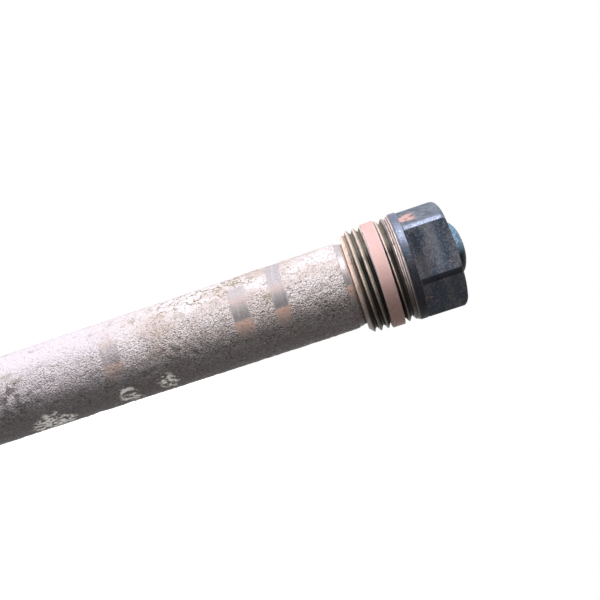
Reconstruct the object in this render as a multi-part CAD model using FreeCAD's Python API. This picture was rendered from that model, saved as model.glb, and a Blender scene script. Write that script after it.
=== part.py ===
# Anode rod of a storage water heater: a hexagon plug with a parallel pipe thread, a magnesium
# rod cast on a steel core that is welded into the plug, and sealing tape round the thread.
# Lengths are millimetres and angles are degrees. Z runs along the rod and points out of the
# tank. Z = 0 is the seat, where the thread ends and the plug's collar starts. Two flats of the
# hexagon face -Y and +Y, so two of its corners lie on X.
import FreeCAD, Part
import math
import os

# Thread of the plug, a G 3/4 parallel pipe thread, from the seat down
THREAD_DIA = 26.2  # over the crests
THREADS_PER_INCH = 14
THREAD_LENGTH = 12.6
CREST_BELOW_SEAT = 0.75  # where the highest crest crosses the +X side
FLANK_ANGLE = 27.5  # half of the profile's 55 degrees
RUNOUT_ANGLE = 45.0  # cone that leads the thread's root out to the collar
LEAD_DEPTH = 1.4  # lead chamfer of the end face, across the axis
LEAD_LENGTH = 1.3  # and along it

# Head of the plug, from the collar up
COLLAR_PROUD = 0.4  # how far the collar stands out over the crests
COLLAR_HEIGHT = 2.0
FLAT_DEPTH = 1.5  # milled off the round bar at each flat of the hexagon
HEX_HEIGHT = 9.1  # from the collar to where the corners start to round off
CORNER_INSET = 1.1  # rounded corner of the head end, across the axis
CORNER_HEIGHT = 1.0  # and along it
CORNER_BULGE = 0.2  # how far that corner swells out of a flat chamfer
CROWN_ANGLE = 8.5  # slope of the head end, from the corners up to the weld
WELD_DIA = 13.0  # dome of weld that closes the core's hole
WELD_SIDE_HEIGHT = 1.0  # its steep side
WELD_SIDE_INSET = 0.6
WELD_SHOULDER_HEIGHT = 1.15  # its sloping shoulder, above the side
WELD_SHOULDER_INSET = 2.2
WELD_TOP_HEIGHT = 0.45  # its low top, above the shoulder
WELD_OFFSET = 0.7  # off the axis, towards -X

# Sealing tape, wound over the crests of the thread
TAPE_WIDTH = 3.3
TAPE_BELOW_SEAT = 3.65  # its upper rim
TAPE_THICKNESS = 0.24
TAPE_CLEARANCE = 0.01  # radial, over the crests

# Magnesium rod
ROD_DIA = 22.0
ROD_LENGTH = 200.0  # from the plug's end face to the sawn end
NECK_LENGTH = 2.0  # turned neck beside the plug
NECK_STEP = 0.3  # step down from the cast skin to the neck
NECK_TAPER = 0.45  # how much further the neck narrows up to the plug
SAWN_EDGE = 0.5  # chamfer round the sawn end

# Steel core
CORE_DIA = 5.0
CORE_CLEARANCE = 0.02  # radial, in the plug's hole

# Worked out from the sizes above. The share is the depth of the 55 degree pipe thread.
INCH = 25.4
DEPTH_SHARE = 0.640327
PITCH = INCH / THREADS_PER_INCH
CREST_R = THREAD_DIA / 2
ROOT_R = CREST_R - DEPTH_SHARE * PITCH
LEAD_FACE_R = CREST_R - LEAD_DEPTH
BAR_R = CREST_R + COLLAR_PROUD
FLAT_R = BAR_R - FLAT_DEPTH
END_FACE_Z = -THREAD_LENGTH
SAWN_END_Z = END_FACE_Z - ROD_LENGTH
CORNER_Z = COLLAR_HEIGHT + HEX_HEIGHT
CROWN_Z = CORNER_Z + CORNER_HEIGHT
CROWN_R = BAR_R - CORNER_INSET
CROWN_RISE = math.tan(math.radians(CROWN_ANGLE))
WELD_Z = CROWN_Z + (CROWN_R - WELD_DIA / 2 - WELD_OFFSET) * CROWN_RISE
CLEAR = 5.0  # how far a cutting body reaches past what it cuts


def at(radius, z):
    """Point of a profile: its distance from the axis and its height."""
    return FreeCAD.Vector(radius, 0, z)


def lines(*points):
    """Straight edges from point to point."""
    return [Part.makeLine(start, end) for start, end in zip(points[:-1], points[1:])]


def turned(edges):
    """Solid made by turning a closed profile round the Z axis."""
    face = Part.Face(Part.Wire(Part.__sortEdges__(edges)))
    return face.revolve(at(0, 0), FreeCAD.Vector(0, 0, 1), 360)


def cylinder(dia, low, high):
    """Upright cylinder on the axis between two heights."""
    return Part.makeCylinder(dia / 2, high - low, at(0, low))


def hexagon(flat_r, low, high):
    """Upright hexagonal prism with flats that face -Y and +Y."""
    corner = flat_r / math.cos(math.radians(30))
    turns = [math.radians(60 * i) for i in range(7)]
    points = [FreeCAD.Vector(corner * math.cos(a), corner * math.sin(a), low) for a in turns]
    face = Part.Face(Part.makePolygon(points))
    return face.extrude(FreeCAD.Vector(0, 0, high - low))


def lead_z(radius):
    """Height at which the lead chamfer reaches a radius."""
    return END_FACE_Z + LEAD_LENGTH * (radius - LEAD_FACE_R) / LEAD_DEPTH


def corner_bend():
    """Point where the rounded corner of the head end bends between its two chamfers."""
    chord = math.hypot(CORNER_INSET, CORNER_HEIGHT)
    radius = BAR_R - CORNER_INSET / 2 + CORNER_BULGE * CORNER_HEIGHT / chord
    return at(radius, CORNER_Z + CORNER_HEIGHT / 2 + CORNER_BULGE * CORNER_INSET / chord)


def plug_head():
    """Turned head before its flats are milled: runout cone, collar, rounded corner and crown."""
    runout = (BAR_R - ROOT_R) / math.tan(math.radians(RUNOUT_ANGLE))
    crown_top = at(0, CROWN_Z + CROWN_R * CROWN_RISE)
    return turned(lines(
        crown_top,
        at(0, -runout),
        at(ROOT_R, -runout),
        at(BAR_R, 0),
        at(BAR_R, CORNER_Z),
        corner_bend(),
        at(CROWN_R, CROWN_Z),
        crown_top,
    ))


def flats_waste():
    """Metal that milling the six flats takes off above the collar."""
    top = CROWN_Z + CLEAR
    ring = cylinder(2 * BAR_R + CLEAR, COLLAR_HEIGHT, top)
    return ring.cut(hexagon(FLAT_R, COLLAR_HEIGHT - CLEAR, top + CLEAR))


def weld_dome():
    """Weld on the crown, with its foot sunk in it: a steep side, a shoulder and a low top."""
    foot_r = WELD_DIA / 2
    side_r = foot_r - WELD_SIDE_INSET
    shoulder_z = WELD_SIDE_HEIGHT + WELD_SHOULDER_HEIGHT
    dome = turned(lines(
        at(0, 0),
        at(foot_r, 0),
        at(side_r, WELD_SIDE_HEIGHT),
        at(side_r - WELD_SHOULDER_INSET, shoulder_z),
        at(0, shoulder_z + WELD_TOP_HEIGHT),
        at(0, 0),
    ))
    dome.translate(FreeCAD.Vector(-WELD_OFFSET, 0, WELD_Z))
    return dome


def thread_ridge():
    """Right-hand ridge of the thread, from below the end face up into the collar."""
    slope = math.tan(math.radians(FLANK_ANGLE))
    pitch_r = (CREST_R + ROOT_R) / 2
    foot_r = ROOT_R - PITCH / 12
    foot_half = PITCH / 4 + (pitch_r - foot_r) * slope
    crest_half = PITCH / 4 + (pitch_r - CREST_R) * slope
    start_z = -CREST_BELOW_SEAT - PITCH * (math.ceil(THREAD_LENGTH / PITCH) + 1)
    section = Part.makePolygon([
        at(foot_r, start_z - foot_half),
        at(CREST_R, start_z - crest_half),
        at(CREST_R, start_z + crest_half),
        at(foot_r, start_z + foot_half),
        at(foot_r, start_z - foot_half),
    ])
    path = Part.makeHelix(PITCH, (COLLAR_HEIGHT - PITCH) / 2 - start_z, CREST_R)
    path.translate(at(0, start_z))
    return path.makePipeShell([section], True, True)


def threaded_shank():
    """Root of the plug with its thread, cut to a lead chamfer and a flat end face."""
    root = cylinder(2 * ROOT_R, END_FACE_Z - 2 * PITCH, COLLAR_HEIGHT / 2)
    outside = CREST_R + CLEAR
    lead = turned(lines(
        at(0, END_FACE_Z),
        at(LEAD_FACE_R, END_FACE_Z),
        at(outside, lead_z(outside)),
        at(outside, COLLAR_HEIGHT / 2),
        at(0, COLLAR_HEIGHT / 2),
        at(0, END_FACE_Z),
    ))
    return root.fuse(thread_ridge()).common(lead)


def hex_plug():
    """Steel plug: milled head with its weld, threaded shank and the hole that takes the core."""
    hole = cylinder(CORE_DIA + 2 * CORE_CLEARANCE, END_FACE_Z - CLEAR, CROWN_Z)
    head = plug_head().cut(flats_waste()).fuse(weld_dome()).cut(hole)
    shank = threaded_shank().cut(hole)
    return shank.fuse(head).removeSplitter()


def seal_tape():
    """Band of tape that lies on the crests of the thread."""
    low = -TAPE_BELOW_SEAT - TAPE_WIDTH
    inner_r = CREST_R + TAPE_CLEARANCE
    band = cylinder(2 * (inner_r + TAPE_THICKNESS), low, -TAPE_BELOW_SEAT)
    return band.cut(cylinder(2 * inner_r, low - CLEAR, CLEAR))


def magnesium_rod():
    """Cast rod with its turned neck, its sawn end and the hole that the core fills."""
    step_z = END_FACE_Z - NECK_LENGTH
    neck_r = ROD_DIA / 2 - NECK_STEP
    return turned(lines(
        at(CORE_DIA / 2, SAWN_END_Z),
        at(ROD_DIA / 2 - SAWN_EDGE, SAWN_END_Z),
        at(ROD_DIA / 2, SAWN_END_Z + SAWN_EDGE),
        at(ROD_DIA / 2, step_z),
        at(neck_r, step_z),
        at(neck_r - NECK_TAPER, END_FACE_Z),
        at(CORE_DIA / 2, END_FACE_Z),
        at(CORE_DIA / 2, SAWN_END_Z),
    ))


def steel_core():
    """Round wire from the sawn end, through the rod and the plug, up to the weld."""
    return cylinder(CORE_DIA, SAWN_END_Z, CROWN_Z)


def main():
    """Build every piece and write it to its own file."""
    nodes = {
        "hex_plug": hex_plug(),
        "seal_tape": seal_tape(),
        "magnesium_rod": magnesium_rod(),
        "steel_core": steel_core(),
    }
    os.makedirs("parts", exist_ok=True)
    for name, shape in nodes.items():
        shape.exportStep(f"parts/{name}.step")


main()
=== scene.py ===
"""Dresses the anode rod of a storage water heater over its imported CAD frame.

Sizes in the classes are millimetres and angles are degrees, in the frame of the CAD part: Z runs
along the rod and points out of the tank, Z = 0 is the plug's seat, and two flats of the hexagon
face -Y and +Y. Meshes are written in metres.
"""
import functools
import itertools
import logging
import math
from dataclasses import dataclass
from enum import Enum

import bpy
import numpy as np
from mathutils import Matrix, Vector


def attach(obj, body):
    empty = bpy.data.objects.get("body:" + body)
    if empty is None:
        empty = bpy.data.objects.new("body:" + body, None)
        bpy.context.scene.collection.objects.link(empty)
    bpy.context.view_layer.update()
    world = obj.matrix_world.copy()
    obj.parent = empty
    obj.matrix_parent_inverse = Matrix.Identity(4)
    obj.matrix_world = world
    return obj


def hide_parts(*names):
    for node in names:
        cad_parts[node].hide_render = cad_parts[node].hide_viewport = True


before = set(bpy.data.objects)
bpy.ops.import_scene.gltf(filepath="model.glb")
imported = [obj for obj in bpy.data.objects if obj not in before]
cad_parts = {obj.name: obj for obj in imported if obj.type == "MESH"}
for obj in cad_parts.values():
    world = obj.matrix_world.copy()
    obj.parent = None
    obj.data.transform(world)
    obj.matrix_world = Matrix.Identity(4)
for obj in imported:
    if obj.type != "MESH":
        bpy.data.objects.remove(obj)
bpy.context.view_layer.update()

LOG = logging.getLogger("anode_rod")
MM = 0.001
Triple = tuple[float, float, float]
Colour = Triple
Array = np.ndarray
Values = Array | float
Material = bpy.types.Material
Piece = bpy.types.Object
Socket = bpy.types.NodeSocket

# Directions round the axis, in degrees
LIT_SIDE = 190.0  # painted highlights are laid on this side
SHADED_SIDE = 10.0  # painted shade is laid on this side
FRONT_SIDE = -80.0  # between them


# Numbers and fields

class Grain:
    """Repeatable, smooth random values in space, for uneven surfaces."""

    def __init__(self, seed: int, cells: int = 48) -> None:
        """Fill the lattice that the values are read from.

        Args:
            seed: Number that the random values start from.
            cells: Lattice points along each side before the values repeat.
        """
        self.cells = cells
        self.values = np.random.default_rng(seed).random((cells, cells, cells)) * 2 - 1

    def at(self, points: Array, size: float) -> Array:
        """Read values between -1 and 1.

        Args:
            points: Places in millimetres, with x, y and z along the last axis.
            size: Width of one lump in millimetres.

        Returns:
            One value for each place.
        """
        scaled = points / size + 0.37 * self.cells
        base = np.floor(scaled).astype(int)
        part = scaled - base
        part = part * part * (3 - 2 * part)
        total = np.zeros(points.shape[:-1])
        for corner in itertools.product((0, 1), repeat=3):
            step = np.array(corner)
            weight = np.prod(np.where(step, part, 1 - part), axis=-1)
            cell = (base + step) % self.cells
            total += weight * self.values[cell[..., 0], cell[..., 1], cell[..., 2]]
        return total

    def layered(self, points: Array, size: float, layers: int = 4) -> Array:
        """Add finer and weaker layers of grain.

        Args:
            points: Places in millimetres.
            size: Width of the coarsest lumps in millimetres.
            layers: How many layers, each half as wide and as strong.

        Returns:
            One value for each place, mostly between -1 and 1.
        """
        total = sum(self.at(points, size / 2 ** i) * 0.5 ** i for i in range(layers))
        return total / 1.4


def smooth_step(low: float, high: float, value: Values) -> Values:
    """Rise from 0 at low to 1 at high with soft ends."""
    part = np.clip((value - low) / (high - low), 0.0, 1.0)
    return part * part * (3 - 2 * part)


def bell(value: Values, centre: float, width: float) -> Values:
    """Rise to 1 at the centre and fall off on both sides of it."""
    return np.exp(-((value - centre) / width) ** 2)


def soft_min(first: Values, second: Values, softness: float) -> Values:
    """Lower of two values, with the edge between them rounded over by softness."""
    gap = np.clip(0.5 + 0.5 * (second - first) / softness, 0.0, 1.0)
    return second * (1 - gap) + first * gap - softness * gap * (1 - gap)


def turn_gap(azimuth: Array, centre: float) -> Array:
    """Angle between two directions round the axis, from 0 to 180 degrees."""
    return np.abs((azimuth - centre + 180.0) % 360.0 - 180.0)


def near(azimuth: Array, centre: float, inner: float, outer: float) -> Array:
    """Fall from 1, up to inner degrees from a direction, to 0 at outer degrees from it."""
    return smooth_step(-outer, -inner, -turn_gap(azimuth, centre))


def directions(columns: int) -> Array:
    """Azimuths of evenly spaced columns in degrees."""
    return np.arange(columns) * 360.0 / columns


def round_points(radius: Values, azimuth: Values, z: Values) -> Array:
    """Points in millimetres from their distance to the axis, azimuth in degrees and height."""
    radius, azimuth, z = np.broadcast_arrays(radius, azimuth, z)
    turn = np.radians(azimuth)
    return np.stack([radius * np.cos(turn), radius * np.sin(turn), z], axis=-1)


# Meshes

def add_object(name: str, data: bpy.types.ID) -> Piece:
    """Link a new object that shows the data."""
    item = bpy.data.objects.new(name, data)
    bpy.context.collection.objects.link(item)
    return item


class Skin:
    """Mesh made of rows of points that go round the axis."""

    def __init__(self, name: str, points: Array, climb: int = 0, cap: bool = False) -> None:
        """Hold the rows.

        Args:
            name: Name of the piece.
            points: Rows by columns of points in millimetres, from low to high, anticlockwise.
            climb: Rows by which the last column meets the first one higher up, for a thread.
            cap: Whether the last row shrinks to one point in its middle.
        """
        self.name = name
        self.points = points
        self.climb = climb
        self.cap = cap
        self.masks: dict[str, Array] = {}

    def mask(self, name: str, values: Values) -> None:
        """Keep one number for each point, which the finish can read by this name."""
        self.masks[name] = np.broadcast_to(values, self.points.shape[:2])

    def faces(self) -> Array:
        """Quads between neighbouring rows and columns, without those that have no width."""
        rows, columns = self.points.shape[:2]
        row, column = np.meshgrid(np.arange(rows - 1), np.arange(columns), indexing="ij")
        onward = (column + 1) % columns
        lifted = row + np.where(onward == 0, self.climb, 0)
        kept = lifted < rows - 1
        row, column, onward, lifted = row[kept], column[kept], onward[kept], lifted[kept]
        quads = np.stack([
            row * columns + column,
            lifted * columns + onward,
            (lifted + 1) * columns + onward,
            (row + 1) * columns + column,
        ], axis=-1)
        corners = self.points.reshape(-1, 3)[quads]
        across = np.cross(corners[:, 2] - corners[:, 0], corners[:, 3] - corners[:, 1])
        return quads[np.linalg.norm(across, axis=-1) > 1e-7]

    def build(self, material: Material, node: str, slot: str) -> Piece:
        """Make the object and put it in a CAD solid's place.

        Args:
            material: Finish of the piece.
            node: Name of the CAD solid.
            slot: Name of its material slot; not used.

        Returns:
            The linked object, smooth shaded, with its masks as attributes.
        """
        vertices = self.points.reshape(-1, 3) * MM
        faces = self.faces().tolist()
        if self.cap:
            columns = self.points.shape[1]
            first = len(vertices) - columns
            middle = vertices[first:].mean(axis=0)
            vertices = np.vstack([vertices, middle])
            top = len(vertices) - 1
            faces += [[first + i, first + (i + 1) % columns, top] for i in range(columns)]
        mesh = bpy.data.meshes.new(self.name)
        mesh.from_pydata(vertices.tolist(), [], faces)
        for name, values in self.masks.items():
            flat = values.reshape(-1).tolist()
            flat += [flat[-1]] * (len(vertices) - len(flat))
            mesh.attributes.new(name, "FLOAT", "POINT").data.foreach_set("value", flat)
        mesh.polygons.foreach_set("use_smooth", [True] * len(mesh.polygons))
        mesh.materials.append(material)
        mesh.validate()
        piece = add_object(self.name, mesh)
        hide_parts(node)
        return piece


# Finishes

class Finish:
    """Node material of one finish, with short calls for the nodes that it needs."""

    def __init__(self, name: str, colour: Colour) -> None:
        """Start the material with its shader and its coordinates in millimetres.

        Args:
            name: Name of the material.
            colour: Colour that the others are laid over.
        """
        self.colour: object = colour
        self.material = bpy.data.materials.new(name)
        self.material.use_nodes = True
        self.tree = self.material.node_tree
        self.shader = self.tree.nodes["Principled BSDF"]
        place = self.node("TexCoord")
        scale = self.node("VectorMath")
        scale.operation = "SCALE"
        scale.inputs["Scale"].default_value = 1 / MM
        self.tree.links.new(place.outputs["Object"], scale.inputs[0])
        self.place = scale.outputs["Vector"]

    def node(self, kind: str) -> bpy.types.Node:
        """Add a shader node."""
        return self.tree.nodes.new(f"ShaderNode{kind}")

    def plain(self, **sockets: float) -> None:
        """Set the shader's own sockets, with the words of each name joined by underscores."""
        for name, value in sockets.items():
            self.shader.inputs[name.replace("_", " ")].default_value = value

    def drive(self, name: str, value: object) -> None:
        """Wire a socket of the shader to a value that varies over the surface."""
        self.feed(self.shader.inputs[name], value)

    def feed(self, socket: Socket, value: object) -> None:
        """Wire a socket to another one or to a mask's name, or set it to a number or a colour."""
        if isinstance(value, str):
            mask = self.node("Attribute")
            mask.attribute_name = value
            value = mask.outputs["Fac"]
        if isinstance(value, Socket):
            self.tree.links.new(value, socket)
        elif isinstance(value, tuple):
            socket.default_value = (*value, 1.0)
        else:
            socket.default_value = value

    def grain(self, size: float, detail: float = 4.0, stretch: Triple = (1, 1, 1)) -> Socket:
        """Smooth noise.

        Args:
            size: Width of its lumps in millimetres.
            detail: Number of finer layers.
            stretch: How many times wider the lumps are along x, y and z.

        Returns:
            Value from 0 to 1.
        """
        place = self.node("VectorMath")
        place.operation = "DIVIDE"
        place.inputs[1].default_value = tuple(size * s for s in stretch)
        self.tree.links.new(self.place, place.inputs[0])
        noise = self.node("TexNoise")
        noise.inputs["Scale"].default_value = 1.0
        noise.inputs["Detail"].default_value = detail
        noise.inputs["Roughness"].default_value = 0.6
        self.tree.links.new(place.outputs["Vector"], noise.inputs["Vector"])
        return noise.outputs["Fac"]

    def pebbles(self, size: float) -> Socket:
        """Close rounded lumps, size millimetres wide, from 0 between them to 1 on top."""
        place = self.node("VectorMath")
        place.operation = "SCALE"
        place.inputs["Scale"].default_value = 1 / size
        self.tree.links.new(self.place, place.inputs[0])
        cells = self.node("TexVoronoi")
        cells.feature = "SMOOTH_F1"
        cells.inputs["Scale"].default_value = 1.0
        cells.inputs["Smoothness"].default_value = 0.35
        self.tree.links.new(place.outputs["Vector"], cells.inputs["Vector"])
        return self.between(cells.outputs["Distance"], 0.75, 0.05)

    def between(self, value: object, low: float, high: float, start: float = 0.0,
                end: float = 1.0, soft: bool = True) -> Socket:
        """Turn the range from low to high into the range from start to end, and hold it there."""
        node = self.node("MapRange")
        node.interpolation_type = "SMOOTHSTEP" if soft else "LINEAR"
        self.feed(node.inputs["Value"], value)
        limits = {"From Min": low, "From Max": high, "To Min": start, "To Max": end}
        for name, number in limits.items():
            node.inputs[name].default_value = number
        return node.outputs["Result"]

    def math(self, operation: str, first: object, second: object) -> Socket:
        """Work out one value from two."""
        node = self.node("Math")
        node.operation = operation
        self.feed(node.inputs[0], first)
        self.feed(node.inputs[1], second)
        return node.outputs["Value"]

    def times(self, *values: object) -> Socket:
        """Multiply values."""
        return functools.reduce(lambda first, second: self.math("MULTIPLY", first, second), values)

    def plus(self, *values: object) -> Socket:
        """Add values."""
        return functools.reduce(lambda first, second: self.math("ADD", first, second), values)

    def mix(self, share: object, first: object, second: object) -> Socket:
        """Mix two colours.

        Args:
            share: How much of the second colour, from 0 to 1.
            first: Colour at 0.
            second: Colour at 1.

        Returns:
            The mixed colour.
        """
        node = self.node("Mix")
        node.data_type = "RGBA"
        self.feed(node.inputs[0], share)
        self.feed(node.inputs[6], first)
        self.feed(node.inputs[7], second)
        return node.outputs[2]

    def lay(self, colour: object, share: object, *span: float) -> None:
        """Lay a colour over what is there.

        Args:
            colour: The colour.
            share: How much of it: a value, or the name of a mask that the mesh keeps.
            span: Range of the share that becomes 0 to 1, or start to end if four are given.
        """
        share = self.between(share, *span) if span else share
        self.colour = self.mix(share, self.colour, colour)

    def finished(self, height: Socket, depth: float) -> Material:
        """Wire the colour and the relief.

        Args:
            height: Unevenness of the surface, from 0 to 1.
            depth: Its depth at 1 in millimetres.

        Returns:
            The material.
        """
        self.drive("Base Color", self.colour)
        bump = self.node("Bump")
        bump.inputs["Distance"].default_value = depth * MM
        bump.inputs["Strength"].default_value = 1.0
        self.tree.links.new(height, bump.inputs["Height"])
        self.drive("Normal", bump.outputs["Normal"])
        return self.material


@dataclass(frozen=True)
class CastMagnesium:
    """Dull, granular cast skin of the rod, with bare drawn bands, pale flakes and a turned neck."""

    taupe: Colour = (0.400, 0.325, 0.295)
    pale: Colour = (0.525, 0.468, 0.464)
    chalk: Colour = (0.470, 0.418, 0.430)
    # dark colour for soot patches and specks, and for painted shade in pits and hollows
    soot_and_shade: Colour = (0.075, 0.066, 0.064)
    # painted shade: colour that one side of the rod is laid in
    side_shade: Colour = (0.072, 0.067, 0.067)
    pit: Colour = (0.024, 0.021, 0.021)
    olive: Colour = (0.170, 0.140, 0.080)
    umber: Colour = (0.120, 0.090, 0.065)
    bare: Colour = (0.285, 0.255, 0.255)
    # dark grey of the painted reflection above the horizon line
    dark_reflection: Colour = (0.085, 0.077, 0.075)
    # orange-brown of the painted reflection below the horizon line, and of tints
    rust_and_reflection: Colour = (0.420, 0.240, 0.160)
    flake: Colour = (0.930, 0.910, 0.860)

    def material(self) -> Material:
        """Make the node material."""
        finish = Finish("cast_magnesium", self.taupe)
        grit = finish.grain(0.58, 4.0)
        speckle = finish.grain(0.34, 2.0)
        stroke = finish.grain(0.28, 2.0, (16, 16, 1))
        folds = finish.math("SUBTRACT", finish.grain(2.4, 3.0, (1, 1, 1.6)), 0.5)
        folds = finish.between(finish.math("ABSOLUTE", folds, 0.0), 0.030, 0.008)
        wrinkle = finish.times(folds, "wrinkled")
        self.paint_cast(finish, grit, wrinkle)
        cast, finish.colour = finish.colour, self.bare
        self.paint_bare(finish, stroke, speckle)
        finish.colour = finish.mix("bare", cast, finish.colour)
        self.weather(finish, grit, speckle)
        rough = finish.between(grit, 0.3, 0.7, 0.52, 0.68)
        finish.drive("Roughness", finish.plus(finish.times("bare", -0.18), rough))
        finish.drive("Metallic", finish.between("turned", 0.0, 1.0, 0.0, 0.3))
        finish.plain(Specular_IOR_Level=0.08)
        height = finish.plus(
            finish.times(grit, 0.45), finish.times(finish.pebbles(0.44), 0.35),
            finish.times(speckle, 0.20), finish.times(wrinkle, -0.15),
        )
        rise = finish.plus(finish.times("grainy", 0.7), 0.55)
        height = finish.times(height, rise, finish.math("SUBTRACT", 1.0, "bare"))
        smooth = finish.plus(finish.times(stroke, 0.03), 0.5)
        return finish.finished(finish.plus(height, finish.times(smooth, "bare")), 0.55)

    def paint_cast(self, finish: Finish, grit: Socket, wrinkle: Socket) -> None:
        """Colour the cast skin, with painted shade in its hollows and pits, its wrinkles and soot.

        Args:
            finish: Finish that is painted.
            grit: Grain of the skin.
            wrinkle: Where its wrinkles are.
        """
        finish.lay(self.pale, finish.grain(9.0, 4.0, (1, 1, 1.8)), 0.35, 0.65)
        finish.lay(self.chalk, "chalk")
        # painted shade in the low spots of the grit
        painted_shade = finish.between(grit, 0.46, 0.34, 0.0, 0.60)
        finish.lay(self.soot_and_shade, finish.times(painted_shade, self.cleaner(finish)))
        umber = finish.between(finish.grain(0.42, 2.0), 0.50, 0.66, 0.0, 0.70)
        finish.lay(self.umber, finish.times(umber, "grainy"))
        finish.lay(self.olive, finish.grain(3.2, 3.0, (1, 1, 2)), 0.60, 0.70, 0.0, 0.4)
        finish.lay(self.olive, wrinkle)
        # painted shade in the deep hollows of the skin
        finish.lay(self.soot_and_shade, "hollow_shade")
        patches = finish.between(finish.grain(2.0, 5.0), 0.47, 0.56, 0.0, 0.8)
        finish.lay(self.soot_and_shade, finish.times("sooty", patches))

    def paint_bare(self, finish: Finish, stroke: Socket, speckle: Socket) -> None:
        """Colour the drawn bands and the turned neck, with a painted horizon reflection, orange
        below and dark above, and a painted highlight on the neck.

        Args:
            finish: Finish that is painted.
            stroke: Marks of drawing and turning.
            speckle: Fine grain.
        """
        # painted reflection: orange-brown below the horizon line, with a faint tint at -105 degrees
        # and a strip by the neck's end
        finish.lay(self.rust_and_reflection, "tarnish_and_reflection")
        # painted reflection: bare metal darker towards the horizon line
        finish.lay(self.dark_reflection, "dark_reflection")
        finish.lay(self.pale, stroke, 0.42, 0.72, 0.0, 0.22)
        # painted highlight on the turned neck
        finish.lay(self.pale, "turned")
        finish.lay(self.soot_and_shade, speckle, 0.60, 0.72, 0.0, 0.5)

    def weather(self, finish: Finish, grit: Socket, speckle: Socket) -> None:
        """Lay the painted shade of one side, painted shade in its pits, its dust, dark specks and
        pale flakes over everything.

        Args:
            finish: Finish that is painted.
            grit: Grain of the skin.
            speckle: Fine grain.
        """
        # painted shade on one side of the rod
        finish.lay(self.side_shade, "side_shade")
        # painted shade in the low spots of the grit on that side
        finish.lay(self.pit, finish.times(finish.between(grit, 0.47, 0.36, 0.0, 0.8), "side_shade"))
        dust = finish.between(finish.grain(0.5, 3.0), 0.52, 0.68, 0.0, 0.24)
        finish.lay(self.pale, finish.times(dust, "side_shade"))
        specks = finish.between(speckle, 0.58, 0.74, 0.0, 0.55)
        finish.lay(self.soot_and_shade, finish.times(specks, self.cleaner(finish)))
        chips = finish.between(finish.grain(0.8, 6.0, (1, 1, 1.7)), 0.45, 0.52)
        clusters = finish.between(finish.grain(2.4, 3.0), 0.38, 0.50)
        finish.lay(self.flake, finish.times("flaky", chips, clusters))

    def cleaner(self, finish: Finish) -> Socket:
        """Share of the painted pit shade and dark specks that is left where the skin is chalky."""
        return finish.between("chalk", 0.0, 1.0, 1.0, 0.45)


@dataclass(frozen=True)
class BluedSteel:
    """Dark, blued and lightly oxidised steel of the plug's head."""

    blue: Colour = (0.014, 0.020, 0.030)
    smoke: Colour = (0.056, 0.052, 0.055)
    ash: Colour = (0.125, 0.140, 0.170)
    # near black of the painted shade on the head
    black: Colour = (0.005, 0.005, 0.006)
    # pale blue-grey of the painted highlight on the lit side
    worn: Colour = (0.165, 0.178, 0.230)
    copper: Colour = (0.480, 0.270, 0.225)
    tint: Colour = (0.120, 0.215, 0.310)
    # bright sky-blue of the painted glints on the weld
    sky: Colour = (0.420, 0.560, 0.680)

    def material(self) -> Material:
        """Make the node material."""
        finish = Finish("blued_steel", self.blue)
        cloud = finish.grain(3.6, 5.0, (2.6, 2.6, 1))
        mottle = finish.grain(0.46, 4.0)
        brush = finish.grain(0.24, 2.0, (4, 4, 1))
        finish.lay(self.smoke, cloud, 0.44, 0.60)
        finish.lay(self.ash, mottle, 0.50, 0.68, 0.0, 0.5)
        finish.lay(self.blue, mottle, 0.49, 0.36, 0.0, 0.85)
        finish.lay(self.ash, brush, 0.54, 0.80, 0.0, 0.45)
        for colour, mask, grain, *span in (
            # painted light on the lit side's flat, and a paler band on the front flat
            (self.ash, "lit_flat_and_band", finish.grain(1.4, 5.0), 0.38, 0.58, 0.30, 1.0),
            (self.tint, "weld", mottle, 0.70, 0.45, 0.45, 1.0),
            # painted glints: bright sky-blue specks on the weld
            (self.sky, "weld", finish.grain(0.42, 3.0), 0.53, 0.64, 0.0, 0.85),
        ):
            finish.lay(colour, finish.times(mask, finish.between(grain, *span)))
        finish.lay(self.copper, finish.grain(1.5, 5.0), 0.58, 0.70, 0.0, 0.16)
        # painted shade laid as black
        finish.lay(self.black, "scale")
        # painted highlight on the lands and the collar of the lit side
        finish.lay(self.worn, finish.times("painted_highlight", finish.between(mottle, 0.62, 0.40, 0.55, 1.0)))
        finish.lay(self.copper, "copper")
        finish.drive("Roughness", finish.between(mottle, 0.3, 0.7, 0.36, 0.52))
        shine = finish.math("MAXIMUM", "painted_highlight", finish.times("weld", 0.5))
        finish.drive("Metallic", finish.between(shine, 0.0, 1.0, 0.0, 0.5))
        finish.drive("Specular IOR Level", finish.between("scale", 0.2, 0.9, 0.07, 0.02))
        coarse = finish.plus(finish.times("weld", 1.6), 0.5)
        uneven = finish.plus(finish.times(mottle, coarse), finish.times(brush, 0.5))
        return finish.finished(uneven, 0.12)


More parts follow.
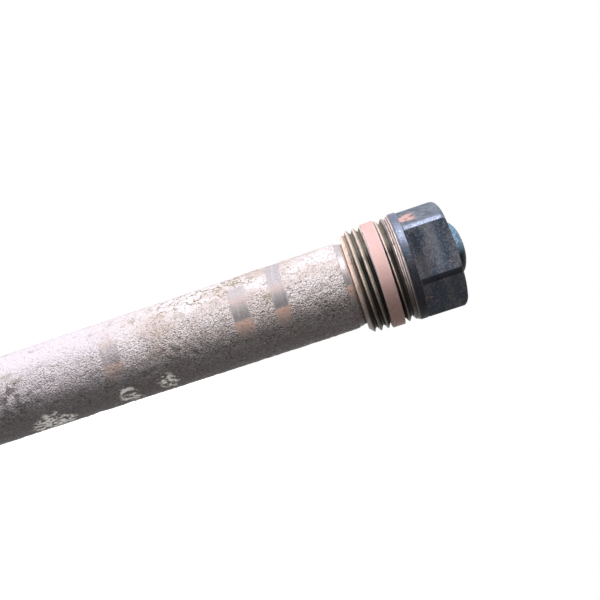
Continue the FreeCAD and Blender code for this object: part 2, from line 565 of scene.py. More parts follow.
@dataclass(frozen=True)
class PlatedThread:
    """Worn yellowish plating on the thread, bright on its crests with a painted highlight, with
    painted shade in its grooves and on one side, and painted light in the grooves of the lit side.
    """

    # near black: painted shade in the grooves and on the shaded side
    groove: Colour = (0.010, 0.009, 0.008)
    flank: Colour = (0.190, 0.175, 0.140)
    # peach of the bright crests and of their painted highlight
    crest: Colour = (0.780, 0.570, 0.470)
    # colour of the painted light in the grooves on the lit side
    lit_groove: Colour = (0.290, 0.245, 0.200)
    grey: Colour = (0.170, 0.155, 0.165)

    def material(self) -> Material:
        """Make the node material."""
        finish = Finish("plated_thread", self.groove)
        mottle = finish.grain(1.1, 4.0, (2, 2, 1))
        spots = finish.grain(0.3, 2.0)
        finish.lay(self.flank, "flank")
        # painted light in the grooves on the lit side
        finish.lay(self.lit_groove, "lit_groove")
        # bright plating on the crests, with a painted highlight on one side of each
        finish.lay(self.crest, "crest")
        finish.lay(self.grey, "bared")
        finish.lay(self.groove, mottle, 0.50, 0.72, 0.0, 0.45)
        # painted shade on the shaded side of the thread
        finish.lay(self.groove, "painted_shade")
        finish.drive("Roughness", finish.between(spots, 0.3, 0.7, 0.30, 0.46))
        finish.drive("Metallic", finish.between("crest", 0.0, 1.0, 0.0, 0.25))
        finish.plain(Specular_IOR_Level=0.1)
        return finish.finished(finish.times(finish.plus(spots, mottle), 0.5), 0.16)


@dataclass(frozen=True)
class PinkTape:
    """Soft salmon pink sealing tape with a faint sheen, painted highlights on its rims and painted
    shade on one side.
    """

    pink: Colour = (0.430, 0.272, 0.248)
    pressed: Colour = (0.390, 0.232, 0.205)
    # dark pink: painted shade on one side, with specks and the fold
    soil_and_shade: Colour = (0.200, 0.130, 0.115)
    # pale colour of the painted highlights on the rims
    rim: Colour = (0.470, 0.370, 0.380)

    def material(self) -> Material:
        """Make the node material."""
        finish = Finish("pink_tape", self.pink)
        weave = finish.grain(0.45, 3.0, (3, 3, 1))
        finish.lay(self.pressed, finish.grain(1.6, 4.0), 0.4, 0.75, 0.0, 0.5)
        # painted highlight on both rims
        finish.lay(self.rim, "rim")
        # painted shade on the tape's shaded side, with dark specks in it
        finish.lay(self.soil_and_shade, "tape_shade")
        specks = finish.between(finish.grain(0.5, 4.0), 0.46, 0.64, 0.0, 0.6)
        finish.lay(self.soil_and_shade, finish.times(specks, "tape_shade"))
        finish.lay(self.soil_and_shade, "fold")
        finish.drive("Roughness", finish.between(weave, 0.3, 0.7, 0.48, 0.62))
        finish.plain(Specular_IOR_Level=0.1)
        return finish.finished(weave, 0.05)


@dataclass(frozen=True)
class DrawnSteel:
    """Plain drawn steel of the core, sawn through at its end."""

    steel: Colour = (0.360, 0.360, 0.370)
    dark: Colour = (0.150, 0.140, 0.135)

    def material(self) -> Material:
        """Make the node material."""
        finish = Finish("drawn_steel", self.steel)
        stroke = finish.grain(0.25, 2.0, (1, 12, 8))
        finish.lay(self.dark, stroke, 0.45, 0.75)
        finish.drive("Roughness", finish.between(stroke, 0.3, 0.7, 0.3, 0.45))
        finish.plain(Metallic=0.9)
        return finish.finished(stroke, 0.03)


# Studio

@dataclass(frozen=True)
class PhotoCamera:
    """Camera at the photograph's place, turned so that the rod lies across the picture."""

    location: Triple = (30.88, -174.59, -11.97)
    azimuth: float = 10.144
    elevation: float = 4.740
    roll: float = 71.710
    lens: float = 42.853

    def place(self) -> Piece:
        """Make the camera and give it to the scene."""
        side, rise, lean = map(math.radians, (self.azimuth, self.elevation, self.roll))
        flat = math.cos(rise)
        back = Vector((math.sin(side) * flat, -math.cos(side) * flat, math.sin(rise)))
        level = Vector((math.cos(side), math.sin(side), 0.0))
        plumb = back.cross(level)
        right = level * math.cos(lean) + plumb * math.sin(lean)
        up = plumb * math.cos(lean) - level * math.sin(lean)
        data = bpy.data.cameras.new("photo_camera")
        data.lens = self.lens
        data.sensor_width = 36.0
        data.clip_start = 0.005
        camera = add_object("photo_camera", data)
        camera.matrix_world = (
            Matrix.Translation(Vector(self.location) * MM)
            @ Matrix((right, up, back)).transposed().to_4x4()
        )
        bpy.context.scene.camera = camera
        return camera


@dataclass(frozen=True)
class Lamp:
    """Soft square lamp that points at the plug, and shows as a gloss only where it is mirrored."""

    name: str
    away: Triple
    size: float
    level: float
    tint: Colour = (1.0, 1.0, 1.0)
    distance: float = 600.0
    target: Triple = (0.0, 0.0, -30.0)
    mirrored: bool = True

    def place(self) -> Piece:
        """Hang the lamp so that a surface that faces it gets its level."""
        aim = Vector(self.target) * MM
        outward = Vector(self.away).normalized()
        data = bpy.data.lights.new(self.name, "AREA")
        data.size = self.size * MM
        data.energy = self.level * math.pi ** 2 * (self.distance * MM) ** 2
        data.color = self.tint
        lamp = add_object(self.name, data)
        lamp.matrix_world = (
            Matrix.Translation(aim + outward * self.distance * MM)
            @ outward.to_track_quat("Z", "Y").to_matrix().to_4x4()
        )
        lamp.visible_glossy = self.mirrored
        return lamp


@dataclass(frozen=True)
class Studio:
    """Pale floor under the sawn end, white surroundings and plain soft lamps."""

    floor_z: float = -212.6
    floor_radius: float = 1500.0
    floor_colour: Colour = (0.42, 0.42, 0.42)
    surround_level: float = 0.07
    lamps: tuple[Lamp, ...] = (
        Lamp("key_lamp", (-0.80, -0.60, 0.12), 380.0, 2.28, (0.885, 0.925, 1.0)),
        Lamp("fill_lamp", (0.20, -1.0, 0.25), 500.0, 0.62, (1.0, 0.97, 0.94)),
        Lamp("back_lamp", (0.30, 1.0, 0.35), 500.0, 1.25, mirrored=False),
    )

    def floor(self) -> Piece:
        """Make the floor, which keeps the object's shadow and is white elsewhere."""
        finish = Finish("studio_floor", self.floor_colour)
        finish.plain(Roughness=0.9, Specular_IOR_Level=0.0)
        noise = finish.node("TexNoise")
        noise.inputs["Scale"].default_value = 40.0
        finish.lay(tuple(c * 0.985 for c in self.floor_colour), noise.outputs["Fac"])
        finish.drive("Base Color", finish.colour)
        reach = finish.node("VectorMath")
        reach.operation = "LENGTH"
        finish.tree.links.new(finish.place, reach.inputs[0])
        glow = finish.between(reach.outputs["Value"], 300.0, 600.0, 0.78, 1.0, soft=False)
        finish.drive("Emission Color", (1.0, 1.0, 1.0))
        finish.drive("Emission Strength", finish.times(self.seen_share(finish.tree), glow))
        ring = round_points(self.floor_radius, directions(96), self.floor_z) * MM
        mesh = bpy.data.meshes.new("studio_floor")
        mesh.from_pydata(ring.tolist(), [], [list(range(len(ring)))])
        mesh.materials.append(finish.material)
        floor = add_object("studio_floor", mesh)
        return floor

    def seen_share(self, tree: bpy.types.NodeTree) -> Socket:
        """Value that is 1 for what the camera, a gloss or a glass sees, and 0 for plain light."""
        path = tree.nodes.new("ShaderNodeLightPath")
        total = path.outputs["Is Camera Ray"]
        for name in ("Is Glossy Ray", "Is Transmission Ray"):
            larger = tree.nodes.new("ShaderNodeMath")
            larger.operation = "MAXIMUM"
            tree.links.new(total, larger.inputs[0])
            tree.links.new(path.outputs[name], larger.inputs[1])
            total = larger.outputs["Value"]
        return total

    def surround(self) -> None:
        """Make the world white to look at and plain as light."""
        world = bpy.data.worlds.new("studio_surround")
        world.use_nodes = True
        tree = world.node_tree
        sky = tree.nodes["Background"]
        sky.inputs["Color"].default_value = (1.0, 1.0, 1.0, 1.0)
        level = tree.nodes.new("ShaderNodeMapRange")
        level.inputs["To Min"].default_value = self.surround_level
        level.inputs["To Max"].default_value = 1.0
        tree.links.new(self.seen_share(tree), level.inputs["Value"])
        tree.links.new(level.outputs["Result"], sky.inputs["Strength"])
        bpy.context.scene.world = world

    def build(self) -> None:
        """Set up the floor, the surroundings and the lamps."""
        self.floor()
        self.surround()
        for lamp in self.lamps:
            lamp.place()
        bpy.context.scene.view_settings.view_transform = "Standard"


# Rod

class SkinKind(Enum):
    """What a mark on the rod's skin is."""

    BARE = "bare"
    FLAKY = "flaky"
    WRINKLED = "wrinkled"
    SOOTY = "sooty"


@dataclass(frozen=True)
class Mark:
    """Place on the rod where its skin differs."""

    kind: SkinKind
    low: float
    high: float
    centre: float
    half_width: float
    strength: float = 1.0

    def share(self, azimuth: Array, z: Array, ragged: Array) -> Array:
        """How much of the mark there is at each point.

        Args:
            azimuth: Directions of the points in degrees.
            z: Their heights.
            ragged: Grain from -1 to 1 that frays the mark's edges.

        Returns:
            Values from 0 to 1.
        """
        if self.kind is not SkinKind.BARE:
            reach = (z - (self.low + self.high) / 2) / (self.high - self.low) * 2
            turned = turn_gap(azimuth, self.centre) / self.half_width
            inside = ragged * 0.5 - np.hypot(reach, turned)
            return self.strength * smooth_step(-1.25, -0.75, inside)
        z = z + ragged * 0.35
        along = smooth_step(self.low - 0.2, self.low + 0.2, z)
        along = along * smooth_step(-self.high - 0.2, -self.high + 0.2, -z)
        gap = turn_gap(azimuth, self.centre) + ragged * 8.0
        beside = smooth_step(-self.half_width - 5.0, -self.half_width + 5.0, -gap)
        return self.strength * along * beside


@dataclass
class CastRod:
    """Cast magnesium rod with its rough skin, its turned neck and its sawn end."""

    radius: float = 11.0
    sawn_z: float = -212.6
    sawn_edge: float = 0.5
    step_z: float = -14.6
    end_z: float = -12.6
    neck_radius: float = 10.7
    neck_end_radius: float = 10.25
    core_radius: float = 2.5
    columns: int = 176
    row_gap: float = 0.42
    marks: tuple[Mark, ...] = tuple(Mark(kind, *sizes) for kind, rows in (
        (SkinKind.BARE, (
            (-32.1, -28.6, -140.0, 82.0), (-42.3, -37.8, -94.0, 36.0, 0.85),
            (-75.8, -70.9, -84.0, 24.0, 0.62), (-118.0, -113.6, -60.0, 48.0),
            (-153.5, -149.0, -120.0, 35.0), (-187.0, -182.2, 40.0, 52.0),
            (-61.0, -56.8, 95.0, 40.0), (-97.2, -93.0, 130.0, 30.0), (-138.0, -134.0, 75.0, 44.0),
        )),
        (SkinKind.FLAKY, (
            (-99.6, -89.2, -18.0, 19.0), (-75.8, -71.2, -22.0, 19.0, 0.8),
            (-65.2, -60.8, -29.0, 16.0, 0.8), (-132.0, -120.0, 5.0, 28.0),
            (-172.0, -163.0, 100.0, 30.0), (-48.0, -40.0, 70.0, 24.0),
        )),
        (SkinKind.WRINKLED, (
            (-66.0, -33.0, -138.0, 20.0), (-30.0, -19.0, -122.0, 14.0, 0.5),
            (-150.0, -120.0, 20.0, 40.0),
        )),
        (SkinKind.SOOTY, (
            (-108.0, -94.5, -68.0, 26.0), (-61.5, -55.5, -72.0, 9.0, 0.8),
            (-76.0, -69.0, -42.0, 10.0, 0.7), (-180.0, -160.0, 150.0, 34.0),
            (-140.0, -126.0, -80.0, 26.0), (-76.0, -62.0, 60.0, 30.0),
        )),
    ) for sizes in rows)

    def skin_depth(self, points: Array, azimuth: Array) -> Array:
        """Depth of the cast skin's hollows under the rod's full radius.

        Args:
            points: Points of the plain round rod.
            azimuth: Their directions in degrees.

        Returns:
            Depths in millimetres, never below zero.
        """
        coarse = Grain(11).layered(points * (1, 1, 0.6), 6.0, 3)
        granular = np.abs(Grain(12).layered(points, 1.35, 3))
        fine = Grain(13).at(points, 0.6)
        depth = 0.02 + 0.06 * coarse + 0.11 * (1 - 1.4 * granular) + 0.05 * fine
        return np.clip(depth + self.creases(points[..., 2], azimuth) + self.pits(points), 0.0, 0.7)

    def creases(self, z: Array, azimuth: Array) -> Array:
        """Depth of the lengthwise creases that casting left."""
        rng = np.random.default_rng(21)
        depth = np.zeros(z.shape)
        for _ in range(26):
            low = rng.uniform(self.sawn_z, self.step_z - 8)
            high = low + rng.uniform(5, 22)
            start, sway, pace = rng.uniform(-180, 180), rng.uniform(2, 7), rng.uniform(0.2, 0.6)
            line = start + sway * np.sin(z * pace) + sway * 0.5 * np.sin(z * pace * 2.7 + 1)
            across = np.radians((azimuth - line + 180) % 360 - 180) * self.radius
            ends = smooth_step(low, low + 2, z) * smooth_step(-high, -high + 2, -z)
            depth += rng.uniform(0.10, 0.24) * ends * bell(across, 0.0, rng.uniform(0.18, 0.35))
        return depth

    def pits(self, points: Array) -> Array:
        """Depth of the scattered pits."""
        rng = np.random.default_rng(22)
        depth = np.zeros(points.shape[:-1])
        height = points[:, 0, 2]
        for _ in range(520):
            turn, z = rng.uniform(-180, 180), rng.uniform(self.sawn_z, self.step_z)
            size = rng.uniform(0.25, 0.95) ** 1.5
            touched = np.nonzero(np.abs(height - z) < 2.5 * size)[0]
            if not len(touched):
                continue
            span = slice(touched[0], touched[-1] + 1)
            centre = round_points(self.radius, turn, z)
            offset = (points[span] - centre) * (1, 1, rng.uniform(0.5, 1.1))
            gap = np.linalg.norm(offset, axis=-1)
            depth[span] += 0.32 * size * bell(gap, 0.0, size)
        return depth

    def light_and_tint_masks(self, body: Skin, azimuth: Array, ragged: Array) -> None:
        """Keep the masks of what runs along the rod: painted shade on one side, and the painted
        horizon reflection, painted highlight and tints of its bare metal.

        Args:
            body: Skin of the whole rod.
            azimuth: Directions of its columns in degrees.
            ragged: Grain from -1 to 1 at its points.
        """
        side = (azimuth + 180.0) % 360.0 - 180.0
        height = body.points[..., 2]
        shade_patch = smooth_step(-110.0, -52.0, side + 12.0 * ragged)
        shade_patch = shade_patch * smooth_step(-34.0, 6.0, -side + 22.0 * ragged)
        # painted shade: one side of the rod is laid darker, in ragged patches
        shaded_arc = smooth_step(-140.0, -82.0, -np.abs(side - 30.0))
        body.mask("side_shade", (0.15 + 0.70 * shade_patch) * shaded_arc)
        seat = smooth_step(-13.25, -13.0, height)
        # painted reflection: orange-brown from the horizon line at -80 degrees, fading further
        # round
        lower = 0.9 * smooth_step(-81.0, -79.0, side) * (1 - 0.6 * smooth_step(-76.0, -54.0, side))
        upper = 0.32 * bell(side, -105.0, 7.0)
        body.mask("tarnish_and_reflection", np.maximum(np.maximum(lower, upper), 0.6 * seat))
        # painted reflection: bare metal laid darker from -110 degrees up to the horizon line at -80
        dark_reflection = smooth_step(-110.0, -84.0, side) * smooth_step(79.0, 81.0, -side)
        body.mask("dark_reflection", 0.85 * dark_reflection * (1 - seat))
        body.mask("grainy", smooth_step(-124.0, -88.0, side) * smooth_step(40.0, 62.0, -side))
        # painted highlight: a sheen along one side of the turned neck
        sheen = 0.55 * bell(side, -111.0, 13.0)
        body.mask("turned", (height > self.step_z) * sheen * (1 - seat))

    def build(self, material: Material) -> Piece:
        """Make the rod in place of its plain CAD solid."""
        azimuth = directions(self.columns)
        rows = math.ceil((self.step_z - self.sawn_z - self.sawn_edge) / self.row_gap)
        heights = np.linspace(self.sawn_z + self.sawn_edge, self.step_z, rows)
        turn, z = np.meshgrid(azimuth, heights)
        plain = round_points(self.radius, turn, z)
        ragged = Grain(14).layered(plain, 2.4, 3)
        shares = {kind: np.zeros(z.shape) for kind in SkinKind}
        for mark in self.marks:
            shares[mark.kind] = np.maximum(shares[mark.kind], mark.share(turn, z, ragged))
        bare, flaky = shares[SkinKind.BARE], shares[SkinKind.FLAKY]
        depth = self.skin_depth(plain, turn)
        depth = depth * (1 - bare) + (0.12 + 0.15 * (depth - 0.12)) * bare
        depth -= 0.05 * flaky * (ragged > 0.0)
        depth = np.clip(depth, 0.0, 0.7)
        edge = smooth_step(self.step_z - 2.5, self.step_z, z)
        shifted = z + edge * 0.28 * Grain(15).layered(plain * (1, 1, 0.0), 1.6, 3)
        skin = round_points(self.radius - depth - 0.10 * edge ** 6, turn, shifted)
        last = shifted[-1]
        neck_z = np.stack([
            last + (self.end_z - last) * s for s in (0.01, 0.08, 0.22, 0.40, 0.60, 0.80, 1.0)
        ])
        drop = (neck_z - self.step_z) / (self.end_z - self.step_z)
        neck_r = self.neck_radius + (self.neck_end_radius - self.neck_radius) * np.clip(drop, 0, 1)
        neck = round_points(neck_r, azimuth, neck_z)
        face = round_points(self.core_radius, azimuth, self.end_z)[None]
        sawn = np.stack([
            round_points(r, azimuth, self.sawn_z)
            for r in np.linspace(self.core_radius, self.radius - self.sawn_edge, 10)
        ])
        points = np.concatenate([sawn, skin, neck, face])
        body = Skin("cast_rod", points)
        before, after = len(sawn), len(neck) + 1

        def whole(part: Array, sawn_value: float = 0.0, neck_value: float = 0.0) -> Array:
            """Extend values of the cast skin over the sawn end and the neck."""
            ends = [np.full((count, self.columns), value)
                    for count, value in ((before, sawn_value), (after, neck_value))]
            return np.concatenate([ends[0], part, ends[1]])

        body.mask("bare", whole(bare, 0.6, 1.0))
        for kind in (SkinKind.FLAKY, SkinKind.WRINKLED, SkinKind.SOOTY):
            body.mask(kind.value, whole(shares[kind]))
        # painted shade: the deep hollows of the skin are laid darker
        body.mask("hollow_shade", whole(smooth_step(0.22, 0.55, depth) * (1 - bare) * 0.8))
        chalk = smooth_step(0.1, 1.0, ragged * 0.3 + 1.3 * np.sin((z + 60.0) / -22.0))
        body.mask("chalk", whole(0.9 * chalk * (1 - bare)))
        self.light_and_tint_masks(body, azimuth, whole(ragged))
        return body.build(material, "magnesium_rod", "magnesium")


# Plug

@dataclass
class PlugHead:
    """Head of the plug: collar, milled hexagon, crowned end and the domed weld."""

    bar_radius: float = 13.5
    half_flats: float = 12.0
    collar_top: float = 2.0
    corner_z: float = 11.1
    crown_z: float = 12.1
    crown_radius: float = 12.4
    crown_rise: float = 0.1495
    collar_rows: tuple[tuple[float, float], ...] = (
        (11.94, 0.0), (13.25, 0.05), (13.40, 0.14), (13.47, 0.25), (13.5, 0.38),
        (13.5, 0.8), (13.5, 1.3), (13.5, 1.80), (13.47, 1.92), (13.38, 1.985),
    )
    weld_radius: float = 6.5
    weld_height: float = 2.6
    weld_offset: float = -0.7
    copper_patches: tuple[Triple, ...] = (
        (214.0, 18.0, 6.8), (325.0, 12.0, 4.6), (100.0, 15.0, 5.0), (20.0, 9.0, 5.5),
    )
    columns: int = 720

    def blank_rows(self) -> list[tuple[float, float]]:
        """Outline of the turned blank above the collar: distance from the axis and height."""
        rows = [(self.bar_radius, z) for z in np.linspace(self.collar_top, self.corner_z, 26)]
        for share in np.linspace(0.0, 1.0, 12)[1:]:
            turn = math.radians(90 * share)
            inward = 0.55 * (1 - math.cos(turn)) + 0.45 * share
            upward = 0.55 * math.sin(turn) + 0.45 * share
            rows.append((self.bar_radius - inward * (self.bar_radius - self.crown_radius),
                         self.corner_z + upward * (self.crown_z - self.corner_z)))
        return rows

    def flat_radius(self, azimuth: Array) -> Array:
        """Distance from the axis to the milled flats."""
        off = np.radians(azimuth % 60.0 - 30.0)
        return self.half_flats / np.cos(off)

    def crown_height(self, radius: Values) -> Values:
        """Height of the crowned end at a distance from the axis."""
        return self.crown_z + (self.crown_radius - radius) * self.crown_rise

    def build(self, material: Material) -> Piece:
        """Make the head in place of the CAD solid's head."""
        azimuth = directions(self.columns)
        flats = self.flat_radius(azimuth)
        # painted highlight: share of the lit side, where lands and collar are laid pale
        lit_share = 0.04 + 0.96 * near(azimuth, LIT_SIDE, 50.0, 85.0)
        rows: list[Array] = []
        painted_highlight: list[Array] = []
        for radius, z in self.collar_rows:
            rows.append(round_points(radius, azimuth, z))
            # painted highlight on the collar on the lit side
            painted_highlight.append(np.full(self.columns, 0.85 + 0.15 * (z > 1.75)) * lit_share)
        land = soft_min(self.bar_radius, flats, 0.12)
        for lift, out in ((0.0, 0.06), (0.03, 0.02)):
            rows.append(round_points(np.minimum(land + out, 13.4), azimuth, self.collar_top + lift))
            painted_highlight.append(np.zeros(self.columns))
        edge = smooth_step(self.bar_radius - 0.12, self.bar_radius + 0.02, flats)
        for radius, z in self.blank_rows()[1:]:
            rows.append(round_points(soft_min(radius, flats, 0.12), azimuth, z))
            # painted highlight along the lands on the lit side
            painted_highlight.append(0.95 * edge * lit_share)
        for radius in np.linspace(self.crown_radius, 8.0, 24)[1:]:
            out = soft_min(radius, flats, 0.08)
            rows.append(round_points(out, azimuth, self.crown_height(out)))
            painted_highlight.append(np.zeros(self.columns))
        weld_rows = self.weld_rows(azimuth)
        rows += weld_rows
        painted_highlight += [np.zeros(self.columns)] * (len(rows) - len(painted_highlight))
        head = Skin("plug_head", np.stack(rows), cap=True)
        weld = np.zeros(head.points.shape[:2])
        weld[len(rows) - len(weld_rows) + 5:] = 0.8
        head.mask("painted_highlight", np.stack(painted_highlight))
        head.mask("weld", weld)
        head.mask("copper", self.copper(head.points, azimuth))
        # painted shade, laid as black, away from the light and on the weld's lower side
        head.mask("scale", self.scale(head.points, azimuth, edge * (1 - lit_share), weld))
        head.mask("lit_flat_and_band", self.lit_flat_and_band(head.points[..., 2], azimuth) * (1 - weld))
        return head.build(material, "hex_plug", "plug_steel")

    def weld_rows(self, azimuth: Array) -> list[Array]:
        """Rows that lead from the crown over the weld to its middle."""
        ripple = Grain(31).layered(round_points(6.5, azimuth, 0.0), 3.0, 3)
        base = self.crown_height(self.weld_radius - self.weld_offset)
        rows = []
        for share in np.linspace(0.0, 1.0, 7)[1:-1]:
            centre = self.weld_offset * share
            radius = 8.0 + (self.weld_radius + 0.12 - 8.0) * share
            points = round_points(radius + 0.10 * ripple * share, azimuth, 0.0) + (centre, 0, 0)
            points[:, 2] = self.crown_height(np.hypot(points[:, 0], points[:, 1]))
            rows.append(points)
        for turn in np.radians(np.concatenate([np.linspace(2, 30, 7), np.linspace(36, 89, 12)])):
            radius = self.weld_radius * math.cos(turn) + 0.10 * ripple * math.cos(turn)
            points = round_points(radius, azimuth, 0.0) + (self.weld_offset, 0, 0)
            crown = self.crown_height(np.hypot(points[:, 0], points[:, 1]))
            dome = base + self.weld_height * math.sin(turn)
            points[:, 2] = -soft_min(-crown, -dome, 0.25)
            rows.append(points)
        return rows

    def scale(self, points: Array, azimuth: Array, shaded_land: Array, weld: Array) -> Array:
        """Painted shade, laid as black scale: on the lands and the collar away from the lit side, a
        painted shadow on one flat beside the collar, and the weld's shaded side.

        Args:
            points: Points of the head.
            azimuth: Directions of its columns.
            shaded_land: Share of the lands between the flats that is away from the lit side.
            weld: Values that are above 0 on the weld.

        Returns:
            Values from 0 to about 1.
        """
        height = points[..., 2]
        # painted shade on the collar away from the lit side
        collar = smooth_step(78.0, 96.0, turn_gap(azimuth, LIT_SIDE)) * (height < self.collar_top)
        land = shaded_land * (height > self.collar_top + 0.1) * (height < self.crown_z)
        down, outward = (points @ round_points(1.0, side, 0.0) for side in (SHADED_SIDE, FRONT_SIDE))
        shade = smooth_step(-2.2, 1.8, down) * smooth_step(-3.0, 1.0, outward)
        # painted shadow on one flat beside the collar's ledge
        corner = 0.5 * bell(height, 3.7, 1.5) * (height > self.collar_top + 0.01)
        corner = corner * near(azimuth, 275.0, 24.0, 34.0)
        # painted shade on the lands and collar away from the lit side
        side_shade = 0.9 * (land + 0.85 * collar)
        return np.maximum(np.maximum(side_shade, 1.2 * shade * weld), corner)

    def lit_flat_and_band(self, height: Array, azimuth: Array) -> Array:
        """Where the steel is paler: painted light on the flat that faces the lit side, and a band
        on the front flat.
        """
        # painted light: the flat that faces the lit side is laid paler
        side = near(azimuth, 195.0, 38.0, 48.0) * (height > self.collar_top)
        band = 0.24 * bell(height, 7.9, 1.6) * (turn_gap(azimuth, 270.0) < 30)
        return np.maximum(0.72 * side, band)

    def copper(self, points: Array, azimuth: Array) -> Array:
        """Where worn copper shows on the flats beside the collar.

        Args:
            points: Points of the head.
            azimuth: Directions of its columns.

        Returns:
            Values from 0 to 1.
        """
        patchy = Grain(32).layered(points, 1.7, 4)
        share = np.zeros(points.shape[:2])
        for centre, half_width, reach in self.copper_patches:
            side = near(azimuth, centre, half_width * 0.5, half_width)
            share = np.maximum(share, side * smooth_step(-reach, -reach + 2.2, -points[..., 2]))
        share = share * (points[..., 2] > self.collar_top + 0.01)
        return 0.8 * share * smooth_step(-0.08, 0.20, patchy)


@dataclass
class PipeThread:
    """Parallel pipe thread with rounded crests, its lead chamfer and the plug's end face."""

    crest_radius: float = 13.1
    pitch: float = 25.4 / 14
    end_z: float = -12.6
    crest_below_seat: float = 0.75
    lead_radius: float = 11.7
    lead_length: float = 1.3
    columns: int = 300
    rows_per_turn: int = 24

    def depth(self, phase: Values) -> Values:
        """Depth of the 55 degree profile below its crest.

        Args:
            phase: Share of the pitch from the crest's middle, from -0.5 to 0.5.

        Returns:
            Depths in millimetres, with the crest and the root rounded.
        """
        slope = self.pitch / math.tan(math.radians(27.5))
        flank = np.abs(phase) * slope - self.pitch * 0.16
        crest = -soft_min(-flank, 0.0, 0.45)
        return soft_min(crest, 0.6403 * self.pitch, 0.35)

    def build(self, material: Material) -> Piece:
        """Make the thread in place of the CAD solid's shank."""
        azimuth = directions(self.columns)
        fine = self.pitch / self.rows_per_turn
        first = math.floor(self.end_z / fine) - 2
        count = -first + self.rows_per_turn + 18
        row = (first + np.arange(count))[:, None]
        z = row * fine - self.crest_below_seat + (azimuth / 360.0 * self.pitch) - self.pitch
        phase = (row * fine / self.pitch + 0.5) % 1.0 - 0.5
        phase = np.broadcast_to(phase, z.shape)
        clamped = np.clip(z, self.end_z, 0.22)
        depth = self.depth(phase) - self.depth(0.0)
        place = round_points(13.0, azimuth, clamped)
        dents = Grain(41).layered(place, 1.2, 3)
        near_crest = bell(depth, 0.0, 0.25)
        radius = self.crest_radius - depth - near_crest * 0.06 * np.clip(dents + 0.3, 0, 1)
        lead_slope = (self.crest_radius - self.lead_radius) / self.lead_length
        lead = self.lead_radius + (clamped - self.end_z) * lead_slope
        grooved = 0.09 * np.cos((clamped + self.crest_below_seat) * 2 * math.pi / 0.5)
        runout = soft_min(13.45 + 0.92 * clamped + grooved, 13.30, 0.15)
        radius = np.maximum(soft_min(radius, lead, 0.10), runout)
        points = round_points(radius, azimuth, clamped)
        face = np.stack([round_points(r, azimuth, self.end_z) for r in (2.52, 7.0, 10.6, 11.55)])
        shank = Skin("plug_thread", points, climb=self.rows_per_turn)
        lead_share = bell(clamped, self.end_z, 0.9) * (radius > 11.75)
        tone = 0.82 + 0.18 * np.clip(dents * 1.6, -1, 1)
        running_out = smooth_step(-1.9, -1.3, clamped)
        lines = running_out * smooth_step(0.02, 0.07, grooved)
        above = smooth_step(-3.9, -3.6, clamped)
        # bright plating on the crests; the strip set to one side of each crest is a painted
        # highlight
        ridge = phase - 0.10 * above
        crest = smooth_step(-0.24, -0.16, ridge) * smooth_step(-0.01, 0.08, -ridge)
        crest = crest * tone * (1 - 0.35 * above) * (1 - running_out)
        flank = smooth_step(-0.30, -0.20, ridge) * smooth_step(-0.32, -0.16, -ridge)
        # painted light: grooves on the lit side are laid lighter
        lit_side_grooves = near(azimuth, -152.0, 36.0, 52.0) * (0.38 + 0.62 * flank)
        shank.mask("crest", np.clip(crest + lead_share + 0.95 * lines, 0, 1))
        shank.mask("flank", flank * (1 - 0.85 * above))
        shank.mask("lit_groove", 0.85 * lit_side_grooves * (1 - running_out))
        shank.mask("bared", running_out * (1 - lines) * 0.9)
        # painted shade: the thread on the shaded side is laid darker
        shank.mask("painted_shade", 0.82 * near(azimuth, SHADED_SIDE, 52.0, 106.0))
        piece = shank.build(material, "hex_plug", "plug_steel")
        cover = Skin("plug_end_face", face)
        cover.mask("flank", 0.8)
        # painted shade: the end face is laid a little darker
        cover.mask("painted_shade", 0.2)
        cover.build(material, "hex_plug", "plug_steel").parent = piece
        return piece


# Tape and core

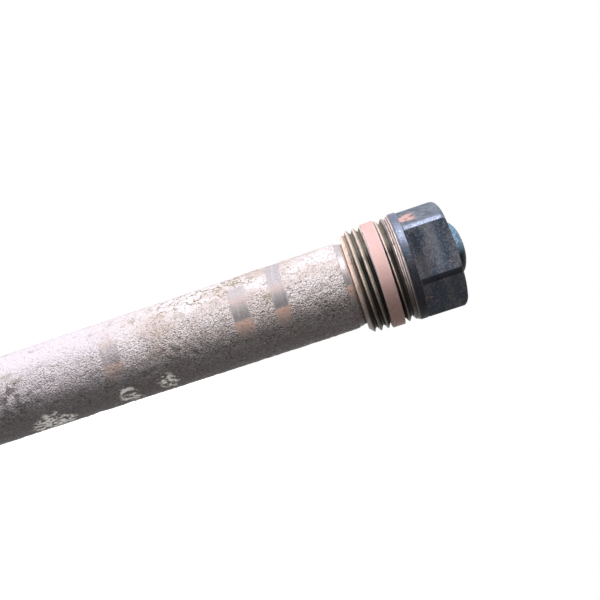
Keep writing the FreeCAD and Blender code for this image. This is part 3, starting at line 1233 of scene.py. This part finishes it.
@dataclass
class SealTape:
    """Sealing tape wound over the thread, with soft rims and one diagonal fold."""

    outer_radius: float = 13.35
    inner_radius: float = 11.75
    high: float = -3.65
    width: float = 3.3
    rim: float = 0.28
    columns: int = 360

    def build(self, material: Material) -> Piece:
        """Make the tape in place of its plain CAD solid."""
        azimuth = directions(self.columns)
        ring = round_points(13.0, azimuth, 0.0)
        wave_low = 0.10 * Grain(51).layered(ring, 5.0, 3)
        wave_high = 0.08 * Grain(52).layered(ring, 5.0, 3)
        low = self.high - self.width + wave_low
        high = self.high + wave_high
        share = np.linspace(0.0, 1.0, 26)[:, None]
        across = low + (high - low) * share
        points = round_points(13.0, azimuth, across)
        fold = self.fold(azimuth, across)
        lumps = 0.05 * np.clip(Grain(53).layered(points, 2.0, 3), 0, 1)
        body = self.outer_radius - 0.03 - lumps - 0.12 * fold
        gap = np.minimum(across - low, high - across)
        into_rim = np.maximum(self.rim - gap, 0.0)
        round_off = self.rim - np.sqrt(np.maximum(self.rim ** 2 - into_rim ** 2, 0.0))
        lip = 0.03 * bell(gap, self.rim, 0.2)
        outer = round_points(np.minimum(body - round_off + lip, self.outer_radius), azimuth, across)
        inner_low = round_points(self.inner_radius, azimuth, low + 0.02)[None]
        inner_high = round_points(self.inner_radius, azimuth, high - 0.02)[None]
        tape = Skin("tape_band", np.concatenate([inner_low, outer, inner_high]))
        tape.mask("fold", np.pad(0.7 * fold, ((1, 1), (0, 0))))
        # painted shade: the tape on the shaded side is laid darker
        tape_shade = near(azimuth, SHADED_SIDE, 55.0, 108.0) * near(azimuth, -30.0, 60.0, 120.0)
        tape.mask("tape_shade", 0.85 * tape_shade)
        # painted highlight along both rims
        rim = 0.8 * smooth_step(-0.45, -0.12, -gap)
        tape.mask("rim", np.pad(rim, ((1, 1), (0, 0)), mode="edge"))
        return tape.build(material, "seal_tape", "tape")

    def fold(self, azimuth: Array, z: Array) -> Array:
        """Depth share of the diagonal crease where the tape laps over itself."""
        along = z - self.high + self.width
        across = (azimuth + 38.0 + along * 2.0 + 180.0) % 360.0 - 180.0
        return bell(across, 0.0, 1.3) * smooth_step(-2.4, -1.2, -along)


@dataclass(frozen=True)
class SteelCore:
    """Core of drawn steel, which the CAD solid already shows rightly."""

    node: str = "steel_core"

    def build(self, material: Material) -> Piece:
        """Give the CAD solid its finish."""
        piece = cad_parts[self.node]
        piece.data.materials.clear()
        piece.data.materials.append(material)
        return piece


def main() -> None:
    """Build the studio and every piece, in order."""
    logging.basicConfig(level=logging.INFO, format="%(name)s: %(message)s")
    PhotoCamera().place()
    Studio().build()
    thread_finish = PlatedThread().material()
    pieces = {
        "rod": CastRod().build(CastMagnesium().material()),
        "plug head": PlugHead().build(BluedSteel().material()),
        "plug thread": PipeThread().build(thread_finish),
        "tape": SealTape().build(PinkTape().material()),
    }
    for name, piece in pieces.items():
        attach(piece, "root")
        LOG.info("%s has %d faces", name, len(piece.data.polygons))
    core = SteelCore().build(DrawnSteel().material())
    LOG.info("core keeps %d faces of the CAD solid", len(core.data.polygons))


if __name__ == "__main__":
    main()
